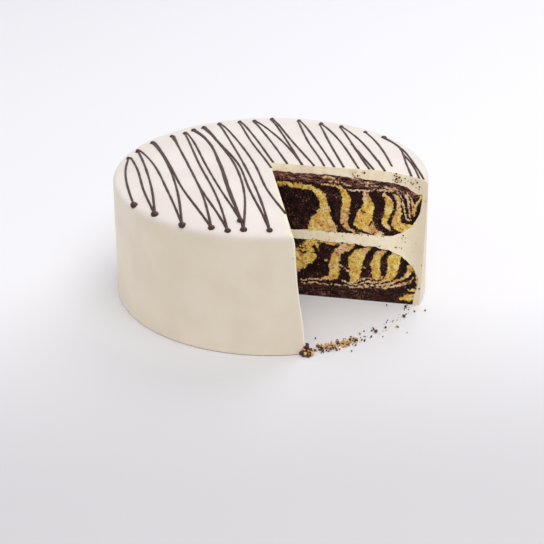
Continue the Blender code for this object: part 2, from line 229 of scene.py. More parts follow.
LOWER_LIGHT = (
    ((21, 16.5, 1.0, 0.7), (23.4, 20, 2.5, 0.6), (24.6, 24, 4.2, 0.2), (26.2, 28, 6.4, 0.0),
     (28.6, 32, 8.4, 0.0), (31, 35.5, 8.8, 0.1), (32.5, 38.5, 7.5, 0.0), (34, 41, 5.5, 0.1)),
    ((40, 41.5, 0.7, 0.5), (46, 42.3, 1.2, 0.4), (52, 41.8, 0.9, 0.6), (57, 41, 0.5, 0.8)),
    ((27, 11.6, 0.5), (34, 12.3, 0.5), (40, 13, 0.6, 0.9), (46, 14.3, 0.9, 0.8),
     (51, 16.2, 2.6, 0.5), (52.7, 18.5, 4.2, 0.3), (53, 22, 4.2, 0.5), (52.8, 27, 4.0, 0.5),
     (53.5, 31, 3.4, 0.4), (54.3, 34, 3.0, 0.8), (57, 37, 2.7, 0.9), (62, 39.8, 2.9, 0.6),
     (66, 41.5, 1.6, 0.5)),
    ((66, 14.4, 0.9, 0.9), (69.2, 17.4, 3.1, 0.2), (69.2, 20, 4.2, 0.1), (68.8, 25, 5.2, 0.2),
     (69.2, 29, 5.8, 0.1), (70.3, 32.5, 5.0, 0.1), (71.8, 35, 3.8, 0.3), (74, 37.2, 2.8, 0.6),
     (78, 39.3, 1.9, 0.8)),
    ((82.5, 18, 0.7, 0.7), (84.8, 20, 3.0, 0.3), (84.6, 24, 3.3, 0.2), (84.2, 29, 3.5, 0.1),
     (84.6, 33, 3.1, 0.2), (86.4, 36, 2.6, 0.6), (89.5, 37.6, 1.7, 0.7), (91.5, 38.6, 0.8, 0.7)),
    ((92.5, 18.4, 0.6, 0.6), (95.6, 19.8, 3.0, 0.3), (97, 22.5, 3.7, 0.1), (97.8, 27, 4.2, 0.1),
     (98.2, 31, 4.4, 0.0), (98.6, 34.5, 3.7, 0.1), (98.6, 37, 2.4, 0.4)),
    ((60, 12.8, 0.4), (68, 13.6, 0.5, 0.9), (74, 15.3, 0.6, 0.9), (80, 16.8, 0.6, 0.9),
     (86, 18.2, 0.6, 0.9), (90, 19, 0.5, 0.8)),
    ((64, 11.5, 0.3), (74, 12.4, 0.5), (82, 14.2, 0.6), (88, 15.6, 0.7, 0.9),
     (93, 17, 0.9, 0.9), (98, 18.2, 0.6, 0.8)),
    ((72, 10.8, 0.35), (82, 11.6, 0.5), (90, 13.2, 0.7), (97, 15.2, 0.8),
     (103, 17.8, 0.9, 0.9), (107, 21, 1.0, 0.8), (109.8, 24.6, 1.5, 0.7)),
    ((86, 10.5, 0.4), (93, 11.4, 0.8), (100, 12.8, 0.9), (106, 14.6, 0.8),
     (110, 17.5, 0.7, 0.9), (112, 21, 0.5, 0.9)),
    ((28, 9.2, 0.3), (38, 9.5, 0.35), (50, 9.9, 0.3), (60, 9.7, 0.35),
     (72, 9.6, 0.3), (82, 10, 0.3)),
    ((58, 25, 0.35), (63.5, 21.2, 0.45)),
    ((45, 28.4, 0.6, 0.5), (46.2, 27.8, 0.5, 0.5)),
    ((76, 25.3, 0.5, 0.6), (77, 24.7, 0.4, 0.6)),
    ((109.5, 27.5, 1.2, 0.5), (112.2, 28, 2.4, 0.1), (114.6, 28.4, 1.6, 0.1)),
    ((116.8, 13, 1.6, 0.9), (117.2, 19, 2.7, 0.9), (116.8, 25.5, 2.0, 0.8)),
    ((105.5, 4.4, 1.4, 0.1), (110, 5.2, 2.4, 0.0), (114.5, 5.6, 2.5, 0.1)),
    ((111.5, 11.4, 0.9, 0.2), (114.8, 11.6, 1.1, 0.1)),
)
LOWER_DARK = (
    ((17, 43.5, 1.6), (25, 42.6, 2.0), (29, 42.6, 1.2), (31.5, 43, 0.5)),
    ((20, 40.5, 2.2), (23.5, 40.2, 2.0), (26, 39.6, 1.0)),
    ((22, 37.4, 0.9), (25.5, 36.8, 0.8), (28.5, 36.4, 0.5)),
    ((23.5, 34.0, 0.5), (27, 33.2, 0.8), (31, 33.8, 0.6), (34.5, 33.0, 0.5)),
    ((28.6, 38.4, 0.6), (29.4, 37.9, 0.5)),
    ((36.8, 37.5, 1.6), (39.2, 33.5, 1.8), (40.2, 29.5, 1.4)),
    ((34.2, 38.2, 0.5), (35.6, 37.8, 0.6)),
    ((36.4, 33.4, 0.5), (37.6, 33.8, 0.4)),
    ((53.5, 33.8, 0.4), (55, 33.4, 0.5)),
    ((111.5, 24, 0.8), (112.6, 22.5, 1.0)),
)

# Drizzle, as in the solids: x and y of each loop's back turn, then for its left and its right
# stroke the x at which it crosses y = 0.05, y = 0 and y = -0.05
CROSSINGS = (0.050, 0.0, -0.050)
STROKE_WIDTH = 0.0019
STROKE_HEIGHT = 0.0010
STROKE_SINK = 0.00015
STROKE_STEP = 0.0013
LOOPS = (
    (-0.1109, 0.0243, (None, -0.1108, -0.1026), (None, -0.1024, -0.0920)),
    (-0.1045, 0.0379, (None, -0.0959, -0.0865), (None, -0.0887, -0.0753)),
    (-0.0943, 0.0552, (None, -0.0783, -0.0684), (None, -0.0770, -0.0635)),
    (-0.0796, 0.0674, (-0.0754, -0.0630, -0.0512), (-0.0748, -0.0628, -0.0504)),
    (-0.0692, 0.0723, (-0.0649, -0.0542, -0.0418), (-0.0613, -0.0495, -0.0365)),
    (-0.0626, 0.0793, (-0.0500, -0.0390, -0.0312), (-0.0495, -0.0380, -0.0300)),
    (-0.0545, 0.0849, (-0.0425, -0.0275, -0.0198), (-0.0418, -0.0245, -0.0155)),
    (-0.0420, 0.0941, (-0.0320, -0.0203, -0.0105), (-0.0259, -0.0122, -0.0027)),
    (-0.0254, 0.0984, (-0.0156, -0.0015, 0.0100), (-0.0102, 0.0030, 0.0180)),
    (-0.0132, 0.0996, (0.0000, 0.0128, 0.0240), (0.0090, 0.0238, 0.0350)),
    (0.0014, 0.1057, (0.0130, 0.0234, 0.0320), (0.0169, 0.0319, 0.0460)),
    (0.0238, 0.1015, (0.0295, 0.0399, 0.0460), (0.0364, 0.0469, 0.0570)),
    (0.0418, 0.0920, (0.0459, 0.0541, 0.0620), (0.0547, 0.0646, 0.0730)),
    (0.0583, 0.0863, (0.0631, 0.0721, 0.0830), (0.0711, 0.0829, 0.0920)),
    (0.0915, 0.0644, (0.0983, 0.1040, 0.1070), (0.0990, 0.1111, 0.1180)),
)
FRONT_TIPS = (
    (-0.0989, -0.0642), (-0.0825, -0.0819), (-0.0622, -0.1000), (-0.0415, -0.1070),
    (-0.0300, -0.1114), (-0.0214, -0.1007), (-0.0190, -0.1113), (-0.0012, -0.1129),
    (0.0150, -0.1060),
)
SIDE_STROKES = (
    ((0.0771, 0.0743), (0.0835, 0.0500), (0.0880, 0.0260), (0.0920, -0.0050)),
    ((0.0640, 0.0420), (0.0705, 0.0160), (0.0780, -0.0140)),
    ((0.0822, 0.0060), (0.0838, -0.0040), (0.0880, -0.0250)),
    ((0.1030, 0.0250), (0.1084, 0.0036), (0.1115, -0.0280)),
)
TURN_HALF_WIDTH = 0.0010
TURN_STEPS = 6
FRONT_BLOB = (0.0027, 0.0030, 0.0021)
BACK_BLOB = (0.0021, 0.0028, 0.0015)
CURVE_STEPS = 40
SECTION_STEPS = 9

# Crumbs: a heap at the foot of the left cut, a drift beside it, and a thin scatter beyond.
# Stuck crumbs are places (s, z) on the cream of the right cut, in millimetres.
CRUMB_SEED = 7
HEAP_CRUMBS = 130
HEAP_AZIMUTH = -78.3
HEAP_RADIUS = 0.1214
HEAP_REACH = 0.0046
HEAP_HEIGHT = 0.0080
NECK_CRUMBS = 22
DRIFT_CRUMBS = 210
DRIFT_RADIUS = 0.1178
DRIFT_START = -73.5
DRIFT_END = -58.0
SCATTER_CRUMBS = 120
SCATTER_END = -22.0
LONE_CRUMBS = (
    (0.0646, -0.0899, 0.0008), (0.0678, -0.0862, 0.0007), (0.0680, -0.0945, 0.0007),
    (0.0749, -0.0840, 0.0012), (0.0765, -0.0879, 0.0013), (0.0671, -0.1012, 0.0010),
    (0.0811, -0.0947, 0.0006), (0.0925, -0.0797, 0.0011), (0.0993, -0.0642, 0.0016),
    (0.0936, -0.0696, 0.0006), (0.0877, -0.0462, 0.0008), (0.1079, -0.0563, 0.0010),
    (0.0316, -0.0969, 0.0008), (0.0570, -0.1160, 0.0008), (0.1161, -0.0549, 0.0009),
    (0.0992, -0.0890, 0.0005),
)
STUCK_CRUMBS = (
    (70.0, 96.4), (72.0, 95.6), (63.0, 94.2), (96.0, 92.6), (98.5, 94.0), (103.0, 90.6),
    (105.0, 92.0), (94.5, 95.2), (96.5, 94.6), (97.8, 92.2), (99.6, 91.2), (95.4, 91.0),
    (112.0, 91.0), (114.0, 88.2), (119.0, 78.0), (106.0, 46.5), (33.0, 45.6), (104.0, 51.2),
    (58.0, 47.0), (119.5, 30.0), (119.0, 12.0),
)
BORDER_CRUMBS = 46
STUCK_CLUSTERS = (
    (97.5, 93.2, 1.9, 26), (65.5, 92.4, 1.5, 10), (71.6, 95.8, 0.6, 5), (110.0, 88.5, 2.2, 8),
)


def colour(red, green, blue):
    """Linear colour from the eight-bit values seen in a picture."""
    linear = []
    for level in (red, green, blue):
        share = level / 255.0
        if share <= 0.04045:
            linear.append(share / 12.92)
        else:
            linear.append(((share + 0.055) / 1.055) ** 2.4)
    return (*linear, 1.0)


def link_object(name, data):
    item = bpy.data.objects.new(name, data)
    bpy.context.scene.collection.objects.link(item)
    return item


def smooth_piece(data, shape):
    """A smoothly shaded piece whose mesh takes over the built shape."""
    shape.to_mesh(data)
    shape.free()
    data.polygons.foreach_set("use_smooth", [True] * len(data.polygons))
    return link_object(data.name, data)


def top_surface(radius):
    """Height of the icing's top at a distance from the axis."""
    past = np.maximum(0.0, radius - FALL_START) / FALL_WIDTH
    return TOP_HEIGHT - TOP_FALL * past ** 2


def crown(radius, top, drop, reach):
    return top - drop * np.minimum(1.0, radius / reach) ** 3


def arc(centre, reach, start, end, steps=ARC_STEPS):
    """Points on a quarter of an ellipse about centre, angles in degrees."""
    angles = np.radians(np.linspace(start, end, steps + 1))
    across = centre[0] + reach[0] * np.cos(angles)
    height = centre[1] + reach[1] * np.sin(angles)
    return [tuple(point) for point in np.stack([across, height], axis=1)]


def slice_tip(height):
    """The line in which the two cuts meet, at the given heights."""
    share = np.asarray(height, float) / TOP_HEIGHT
    shifts = np.stack([
        RIGHT_BASE_SHIFT + (RIGHT_TOP_SHIFT - RIGHT_BASE_SHIFT) * share,
        LEFT_BASE_SHIFT + (LEFT_TOP_SHIFT - LEFT_BASE_SHIFT) * share,
    ], axis=-1)
    across = []
    for azimuth in (RIGHT_AZIMUTH, LEFT_AZIMUTH):
        angle = math.radians(azimuth)
        across.append((-math.sin(angle), math.cos(angle)))
    return shifts @ np.linalg.inv(np.array(across)).T


def way_out(share):
    """Level direction at a share of the way round, from the left cut to the right one."""
    angle = math.radians(LEFT_AZIMUTH - SWEEP * share)
    return np.array([math.cos(angle), math.sin(angle)])


def reach_from_tip(tip, way, radius):
    """Distance along the way from the slice's tip to a circle about the axis."""
    along = tip @ way
    return -along + np.sqrt(along ** 2 - (tip ** 2).sum(-1) + radius ** 2)


class Outline:
    """Half section of a body: its top from the axis out, its side, and its bottom back."""

    def __init__(self, top, side, bottom):
        self.top = top
        self.side = np.array(side)
        self.bottom = bottom

    def disc(self, surface, edge, share, parts):
        """Points on a top or bottom face from the tip to its edge circle."""
        way = way_out(share)
        points = np.zeros((len(parts), 3))
        points[:, 2] = surface(0.0)
        for _ in range(4):
            tip = slice_tip(points[:, 2])
            reach = reach_from_tip(tip, way, edge)
            points[:, :2] = tip + way * (reach * parts)[:, None]
            points[:, 2] = surface(np.hypot(points[:, 0], points[:, 1]))
        return points

    def section(self, share, step):
        """Section at a share of the way round, and the place of each point along it."""
        edge_in = self.side[0, 0]
        edge_out = self.side[-1, 0]
        lengths = np.hypot(*np.diff(self.side, axis=0).T)
        marks = np.concatenate([[0.0], np.cumsum(lengths)])
        count = max(4, round(marks[-1] / step))
        places = np.linspace(0.0, marks[-1], count + 1)
        radii = np.interp(places, marks, self.side[:, 0])
        heights = np.interp(places, marks, self.side[:, 1])
        way = way_out(share)
        tips = slice_tip(heights)
        side = np.zeros((count + 1, 3))
        side[:, :2] = tips + way * reach_from_tip(tips, way, radii)[:, None]
        side[:, 2] = heights
        inward = np.linspace(0.0, 1.0, max(4, round(edge_in / step)) + 1)[:-1]
        outward = np.linspace(1.0, 0.0, max(4, round(edge_out / step)) + 1)[1:]
        points = np.vstack([
            self.disc(self.top, edge_in, share, inward),
            side,
            self.disc(self.bottom, edge_out, share, outward),
        ])
        order = np.concatenate([
            inward * edge_in,
            edge_in + places,
            edge_in + marks[-1] + (1.0 - outward) * edge_out,
        ])
        return points, order


def sponge_body(bottom, top, drop, shoulder, foot):
    upper = (SPONGE_RADIUS - shoulder[0], top - drop - shoulder[1])
    lower = (SPONGE_RADIUS - foot[0], bottom + foot[1])
    side = arc(upper, shoulder, 90, 0) + arc(lower, foot, 0, -90)
    return Outline(
        lambda radius: crown(radius, top, drop, upper[0]),
        side,
        lambda radius: bottom + 0.0 * radius,
    )


def filling_body():
    above = (SPONGE_RADIUS - UPPER_FOOT[0], UPPER_BOTTOM + UPPER_FOOT[1])
    below = (SPONGE_RADIUS - LOWER_SHOULDER[0], LOWER_TOP - LOWER_DROP - LOWER_SHOULDER[1])
    reach_above = (UPPER_FOOT[0], UPPER_FOOT[1] + GAP)
    reach_below = (LOWER_SHOULDER[0], LOWER_SHOULDER[1] + GAP)
    side = arc(above, reach_above, -90, 0) + arc(below, reach_below, 0, 90)
    return Outline(
        lambda radius: UPPER_BOTTOM - GAP + 0.0 * radius,
        side,
        lambda radius: crown(radius, LOWER_TOP, LOWER_DROP, below[0]) + GAP,
    )


def icing_body():
    rim_centre = (RIM_RADIUS - RIM_ROUND, RIM_HEIGHT)
    shoulder = (SPONGE_RADIUS - UPPER_SHOULDER[0], UPPER_TOP - UPPER_DROP - UPPER_SHOULDER[1])
    reach = (UPPER_SHOULDER[0] + GAP, UPPER_SHOULDER[1] + GAP)
    side = arc(rim_centre, (RIM_ROUND, RIM_ROUND), RIM_START, 0)
    side += [(BASE_RADIUS, 0.0006), (BASE_RADIUS - 0.0006, 0.0)]
    side += [(SPONGE_RADIUS + GAP, 0.0)]
    side += arc(shoulder, reach, 0, 90)
    return Outline(
        top_surface,
        side,
        lambda radius: crown(radius, UPPER_TOP, UPPER_DROP, shoulder[0]) + GAP,
    )


def zip_rows(first, first_order, second, second_order):
    """Triangles between two rows of vertices that run side by side."""
    faces = []
    a, b = 0, 0
    while a < len(first) - 1 or b < len(second) - 1:
        step_first = b == len(second) - 1
        if a < len(first) - 1 and not step_first:
            step_first = first_order[a + 1] <= second_order[b + 1]
        if step_first:
            corner = (first[a], first[a + 1], second[b])
            a += 1
        else:
            corner = (first[a], second[b + 1], second[b])
            b += 1
        if len(set(corner)) == 3:
            faces.append(corner)
    return faces


def scattered_inside(loop, step, rng):
    """Uneven points that fill a flat loop, clear of its border."""
    low, high = loop.min(axis=0), loop.max(axis=0)
    rows = int((high[1] - low[1]) / (step * 0.866)) + 1
    columns = int((high[0] - low[0]) / step) + 2
    row, column = np.meshgrid(np.arange(rows), np.arange(columns), indexing="ij")
    across = low[0] + (column + 0.5 * (row % 2)) * step
    upward = low[1] + row * step * 0.866
    points = np.stack([across.ravel(), upward.ravel()], axis=1)
    points += rng.uniform(-JITTER, JITTER, points.shape) * step
    inside = np.zeros(len(points), bool)
    for start, end in zip(loop, np.roll(loop, -1, axis=0)):
        spans = (start[1] > points[:, 1]) != (end[1] > points[:, 1])
        if start[1] == end[1]:
            continue
        crossing = start[0] + (points[:, 1] - start[1]) * (end[0] - start[0]) / (end[1] - start[1])
        inside ^= spans & (points[:, 0] < crossing)
    points = points[inside]
    tree = kdtree.KDTree(len(loop))
    for index, corner in enumerate(loop):
        tree.insert((*corner, 0.0), index)
    tree.balance()
    clear = [tree.find((*point, 0.0))[2] > 0.6 * step for point in points]
    return points[clear]


class Cut:
    """One cut plane: its chart (s, z) in metres, and its normal into the missing slice."""

    def __init__(self, azimuth, top_shift, base_shift, side):
        angle = math.radians(azimuth)
        self.along = np.array([math.cos(angle), math.sin(angle), 0.0])
        across = np.array([-math.sin(angle), math.cos(angle), 0.0])
        self.foot = across * base_shift
        self.climb = across * (top_shift - base_shift) / TOP_HEIGHT + np.array([0.0, 0.0, 1.0])
        normal = np.cross(self.along, self.climb)
        self.normal = side * normal / np.linalg.norm(normal)

    def chart(self, points):
        return np.stack([points @ self.along, points[:, 2]], axis=1)

    def place(self, chart):
        return self.foot + chart[:, :1] * self.along + chart[:, 1:] * self.climb


RIGHT_CUT = Cut(RIGHT_AZIMUTH, RIGHT_TOP_SHIFT, RIGHT_BASE_SHIFT, 1.0)
LEFT_CUT = Cut(LEFT_AZIMUTH, LEFT_TOP_SHIFT, LEFT_BASE_SHIFT, -1.0)
CUTS = {"left": LEFT_CUT, "right": RIGHT_CUT}


class Body:
    """Closed mesh of a cut body, with the charts of its two cut faces."""

    def __init__(self, outline, cut_step, seed):
        rng = np.random.default_rng(seed)
        self.points = []
        self.faces = []
        self.cut_faces = {}
        left, left_order = outline.section(0.0, cut_step)
        right, right_order = outline.section(1.0, cut_step)
        top = self.add([left[0]])[0]
        bottom = self.add([left[-1]])[0]
        rows = [([top, *self.add(left[1:-1]), bottom], left_order)]
        for column in range(1, SHELL_COLUMNS):
            section, order = outline.section(column / SHELL_COLUMNS, SHELL_STEP)
            rows.append(([top, *self.add(section[1:-1]), bottom], order))
        rows.append(([top, *self.add(right[1:-1]), bottom], right_order))
        for before, after in zip(rows, rows[1:]):
            self.faces += zip_rows(*before, *after)
        height = left[-1][2] - left[0][2]
        count = max(2, round(abs(height) / cut_step))
        heights = left[0][2] + height * np.arange(1, count) / count
        edge = self.add(np.column_stack([slice_tip(heights), heights]))
        for name, cut, row in (("left", LEFT_CUT, rows[0][0]), ("right", RIGHT_CUT, rows[-1][0])):
            ring = [*row, *reversed(edge)]
            self.fill(name, cut, ring, cut_step, rng)

    def add(self, points):
        start = len(self.points)
        self.points += [np.array(point, float) for point in points]
        return list(range(start, len(self.points)))

    def fill(self, name, cut, ring, step, rng):
        """Fills one cut face with small triangles and keeps which vertices lie in it."""
        loop = cut.chart(np.array([self.points[index] for index in ring]))
        inner = scattered_inside(loop, step, rng)
        inner_ids = self.add(cut.place(inner))
        flat = np.vstack([loop, inner])
        ids = [*ring, *inner_ids]
        corners = [Vector(point / MM) for point in flat]
        border = list(range(len(ring)))
        found = delaunay_2d_cdt(corners, [], [border], 1, 1e-6)
        for face in found[2]:
            origin = [found[3][corner] for corner in face]
            if all(origin):
                self.faces.append(tuple(ids[corner[0]] for corner in origin))
        self.cut_faces[name] = (ids, flat / MM, len(ring))

    def mesh(self, name, values):
        """The body as a piece, with the values that its material reads at each vertex."""
        data = bpy.data.meshes.new(name)
        data.from_pydata([tuple(point) for point in self.points], [], self.faces)
        shape = bmesh.new()
        shape.from_mesh(data)
        bmesh.ops.recalc_face_normals(shape, faces=shape.faces)
        piece = smooth_piece(data, shape)
        data.set_sharp_from_angle(angle=math.radians(SHARP_ANGLE))
        for key, value in values.items():
            layer = data.attributes.new(key, "FLOAT", "POINT")
            layer.data.foreach_set("value", np.asarray(value, np.float32))
        return piece


def noise_at(points, size, seed):
    """Smooth noise from about -1 to 1 at points in millimetres."""
    offset = Vector((seed * 17.3, seed * 5.1, seed * 9.7))
    values = [noise.noise(Vector(point) / size + offset) for point in points]
    return np.array(values) * 1.6


def chart_noise(chart, third, size, seed):
    """Noise on a cut face. Each use has a third coordinate of its own, so that none match."""
    return noise_at(np.column_stack([chart, np.full(len(chart), third)]), size, seed)


def smooth_step(value, low, high):
    share = np.clip((value - low) / (high - low), 0.0, 1.0)
    return share * share * (3.0 - 2.0 * share)


def inner_share(chart):
    """One well inside the cake's section, falling to zero at its outer surface."""
    radius = np.abs(chart[:, 0])
    height = chart[:, 1]
    outer = smooth_step(BASE_RADIUS / MM - radius, 1.0, 3.5)
    above = smooth_step(top_surface(radius * MM) / MM - height, 0.6, 3.0)
    base = smooth_step(height, 0.0, 2.5)
    return outer * above * base


def wander(chart, seed):
    """Shift of a cut face's points within its plane, shared by all bodies."""
    size = BORDER_WANDER * inner_share(chart)
    shift = np.stack([
        chart_noise(chart, 0.0, BORDER_SIZE, seed),
        chart_noise(chart, 40.0, BORDER_SIZE, seed),
    ], axis=1)
    fine = chart_noise(chart, 80.0, BORDER_SIZE / 3.5, seed)
    shift[:, 1] += 0.5 * fine
    shift *= size[:, None]
    for s, z, reach, push_s, push_z in DENTS:
        away = np.hypot(*(chart - (s, z)).T) / reach
        share = np.exp(-away ** 2) * inner_share(chart)
        shift += share[:, None] * (push_s, push_z)
    return shift


def knife_wave(chart, seed):
    fade = inner_share(chart)
    return KNIFE_WAVE * fade * chart_noise(chart, 120.0, KNIFE_SIZE, seed)


def left_bulge(chart):
    """How far the left cut stands out near its outer edge."""
    heights, bulges = zip(*LEFT_BULGE)
    return smooth_step(chart[:, 0], *LEFT_BULGE_START) * np.interp(chart[:, 1], heights, bulges)


def shape_cut(body, side, relief):
    """Moves a cut face's points within its plane and, by their relief, out of it."""
    ids, chart, _ring_count = body.cut_faces[side]
    cut = CUTS[side]
    relief = relief + knife_wave(chart, KNIFE_SEEDS[side])
    if side == "left":
        relief = relief + left_bulge(chart)
    flat = (chart + wander(chart, WANDER_SEEDS[side])) * MM
    moved = cut.place(flat) + (relief * MM)[:, None] * cut.normal
    for index, point in zip(ids, moved):
        body.points[index] = point


def border_distance(chart, ring_count):
    tree = kdtree.KDTree(ring_count)
    for index in range(ring_count):
        tree.insert((*chart[index], 0.0), index)
    tree.balance()
    return np.array([tree.find((*point, 0.0))[2] for point in chart])


def torn_crumb(chart, ring_count, seed):
    """Depth of the torn crumb at each point, and how deep in a pit the point lies."""
    rng = np.random.default_rng(seed)
    depth = np.zeros(len(chart))
    tree = kdtree.KDTree(len(chart))
    for index, point in enumerate(chart):
        tree.insert((*point, 0.0), index)
    tree.balance()
    low, high = chart.min(axis=0), chart.max(axis=0)
    count = int((high - low).prod() * PITS_PER_AREA)
    for _ in range(count):
        place = rng.uniform(low, high)
        share = rng.random() ** 2.2
        radius = PIT_RADIUS[0] + (PIT_RADIUS[1] - PIT_RADIUS[0]) * share
        deepest = PIT_DEPTH[0] + (PIT_DEPTH[1] - PIT_DEPTH[0]) * share * rng.uniform(0.5, 1.0)
        stretch = rng.uniform(0.6, 1.0)
        turn = rng.uniform(0.0, math.pi)
        for found, index, _far in tree.find_range((*place, 0.0), radius):
            away = found.x - place[0], found.y - place[1]
            along = away[0] * math.cos(turn) + away[1] * math.sin(turn)
            across = (away[1] * math.cos(turn) - away[0] * math.sin(turn)) / stretch
            part = 1.0 - (along ** 2 + across ** 2) / radius ** 2
            if part > 0.0:
                depth[index] = max(depth[index], deepest * part ** 0.7)
    rough = chart_noise(chart, 160.0, CRUMB_SIZE, seed)
    rough += 0.6 * chart_noise(chart, 200.0, CRUMB_SIZE / 2.1, seed)
    rough += 0.9 * chart_noise(chart, 240.0, CRUMB_SIZE * 2.7, seed)
    fade = smooth_step(border_distance(chart, ring_count), 0.0, RELIEF_FADE)
    relief = fade * (CRUMB_ROUGHNESS * rough - depth - 0.15)
    return relief, depth * fade


def nearest_band(chart, bands):
    """Distance to the nearest band's edge, negative inside the band, and the band's warmth."""
    nearest = np.full(len(chart), BAND_REACH)
    warmth = np.zeros(len(chart))
    for band in bands:
        knots = [np.array([*knot, 1.0][:4], float) for knot in band]
        line = np.array(smooth_points(knots, BAND_STEPS))
        margin = BAND_REACH + line[:, 2].max()
        low, high = line[:, :2].min(axis=0) - margin, line[:, :2].max(axis=0) + margin
        near = np.flatnonzero(((chart > low) & (chart < high)).all(axis=1))
        points = chart[near]
        for start, end in zip(line, line[1:]):
            step = end[:2] - start[:2]
            part = np.clip(((points - start[:2]) @ step) / (step @ step), 0.0, 1.0)
            knot = start + part[:, None] * (end - start)
            away = np.hypot(*(points - knot[:, :2]).T) - knot[:, 2]
            closer = away < nearest[near]
            nearest[near[closer]] = away[closer]
            warmth[near[closer]] = knot[closer, -1]
    return nearest, warmth


def marbling(chart, light, dark, seed):
    """Distance into the cocoa crumb, negative in the light crumb, and the light crumb's warmth."""
    drift = np.stack([
        chart_noise(chart, third, BEND_SIZE, seed)
        + 0.5 * chart_noise(chart, third + 40.0, RIPPLE_SIZE, seed)
        for third in (280.0, 360.0)
    ], axis=1)
    wandered = chart + 0.5 * PATTERN_WANDER * drift
    distance, warmth = nearest_band(wandered, light)
    return np.maximum(distance, -nearest_band(wandered, dark)[0]), warmth


def streaks(chart, seed):
    """Noise drawn out along the layer, for the pressed crumb at its top and base."""
    drawn = chart / STREAK_SIZE
    return chart_noise(drawn, 440.0, 1.0, seed)


def stretched(chart):
    """Chart of the left cut, whose marbling runs like the right one's but not the same."""
    across = chart[:, 0] * 1.07 - 6.0 + 3.0 * np.sin(chart[:, 1] / 8.0 + 1.0)
    upward = chart[:, 1] + 1.6 * np.sin(chart[:, 0] / 12.0)
    return np.stack([across, upward], axis=1)


def sponge_piece(name, outline, light, dark, crust, seed):
    """A sponge layer with torn, marbled cut faces."""
    body = Body(outline, SPONGE_STEP, seed)
    count = len(body.points)
    cocoa = np.full(count, 3.0)
    warm = np.zeros(count)
    pit = np.zeros(count)
    crusty = np.ones(count)
    streak = np.zeros(count)
    for side, (ids, chart, ring_count) in body.cut_faces.items():
        relief, pit[ids] = torn_crumb(chart, ring_count, seed + len(side))
        shape_cut(body, side, relief)
        pattern = chart if side == "right" else stretched(chart)
        cocoa[ids], warm[ids] = marbling(pattern, light, dark, seed)
        crusty[ids] = crust(chart)
        streak[ids] = streaks(chart, seed)
    values = {"cocoa": cocoa, "pit": pit, "crust": crusty, "warm": warm, "streak": streak}
    return body.mesh(name, values)


def cream_piece(name, outline, seed):
    """Filling or icing, whose cut faces the knife has smoothed."""
    body = Body(outline, CREAM_STEP, seed)
    cut_share, outer, edge = np.zeros((3, len(body.points)))
    for side, (ids, chart, ring_count) in body.cut_faces.items():
        fade = smooth_step(border_distance(chart, ring_count), 0.0, RELIEF_FADE)
        fine = chart_noise(chart, 0.0, CREAM_SIZE, seed)
        shape_cut(body, side, CREAM_ROUGHNESS * fade * fine)
        cut_share[ids] = 1.0
        outer[ids] = smooth_step(chart[:, 0], *OUTER_CREAM)
        if side == "left":
            # Marks the left cut's outer border, where a painted highlight goes
            edge[ids[:ring_count]] = chart[:ring_count, 0] > HIGHLIGHT_PAINT_START
    return body.mesh(name, {"cut": cut_share, "outer": outer, "edge": edge})


def upper_crust(chart):
    """How much of the upper layer's brown crust shows at a point."""
    top = crown(chart[:, 0] * MM, UPPER_TOP, UPPER_DROP, SPONGE_RADIUS - UPPER_SHOULDER[0]) / MM
    return smooth_step(chart[:, 1], top - 7.5, top - 5.0)


def lower_crust(chart):
    return 0.2 * (1.0 - smooth_step(chart[:, 1], 8.0, 12.0))


class Shading:
    """Short calls for the nodes of one material."""

    def __init__(self, name, roughness):
        self.material = bpy.data.materials.new(name)
        self.material.use_nodes = True
        self.tree = self.material.node_tree
        self.shader = self.tree.nodes["Principled BSDF"]
        self.shader.inputs["Roughness"].default_value = roughness
        self.place = self.tree.nodes.new("ShaderNodeTexCoord").outputs["Object"]

    def link(self, value, socket):
        """Joins an output to a socket, or sets the socket to a number or a seen colour."""
        if isinstance(value, bpy.types.NodeSocket):
            self.tree.links.new(value, socket)
        elif isinstance(value, tuple):
            socket.default_value = colour(*value)
        else:
            socket.default_value = value

    def attribute(self, name):
        node = self.tree.nodes.new("ShaderNodeAttribute")
        node.attribute_name = name
        return node.outputs["Fac"]

    def noise(self, size, detail=2.0, roughness=0.5):
        node = self.tree.nodes.new("ShaderNodeTexNoise")
        node.inputs["Scale"].default_value = 1.0 / size
        node.inputs["Detail"].default_value = detail
        node.inputs["Roughness"].default_value = roughness
        self.link(self.place, node.inputs["Vector"])
        return node.outputs["Fac"]

    def position(self, axis):
        node = self.tree.nodes.new("ShaderNodeSeparateXYZ")
        self.link(self.place, node.inputs[0])
        return node.outputs[axis]

    def sum(self, operation, first, second):
        node = self.tree.nodes.new("ShaderNodeMath")
        node.operation = operation
        self.link(first, node.inputs[0])
        self.link(second, node.inputs[1])
        return node.outputs[0]

    def span(self, value, low, high):
        """Zero below low, one above high."""
        node = self.tree.nodes.new("ShaderNodeMapRange")
        node.interpolation_type = "SMOOTHSTEP"
        node.inputs["From Min"].default_value = low
        node.inputs["From Max"].default_value = high
        self.link(value, node.inputs["Value"])
        return node.outputs["Result"]

    def mix(self, share, first, second):
        node = self.tree.nodes.new("ShaderNodeMix")
        node.data_type = "RGBA"
        self.link(share, node.inputs[0])
        self.link(first, node.inputs[6])
        self.link(second, node.inputs[7])
        return node.outputs[2]

    def tint(self, base, value, span, seen):
        """The base, turned to a seen colour as the value rises over the span."""
        return self.mix(self.span(value, *span), base, seen)

    def bump(self, height, distance):
        node = self.tree.nodes.new("ShaderNodeBump")
        node.inputs["Distance"].default_value = distance
        self.link(height, node.inputs["Height"])
        self.tree.links.new(node.outputs["Normal"], self.shader.inputs["Normal"])

    def finish(self, base):
        self.link(base, self.shader.inputs["Base Color"])
        return self.material


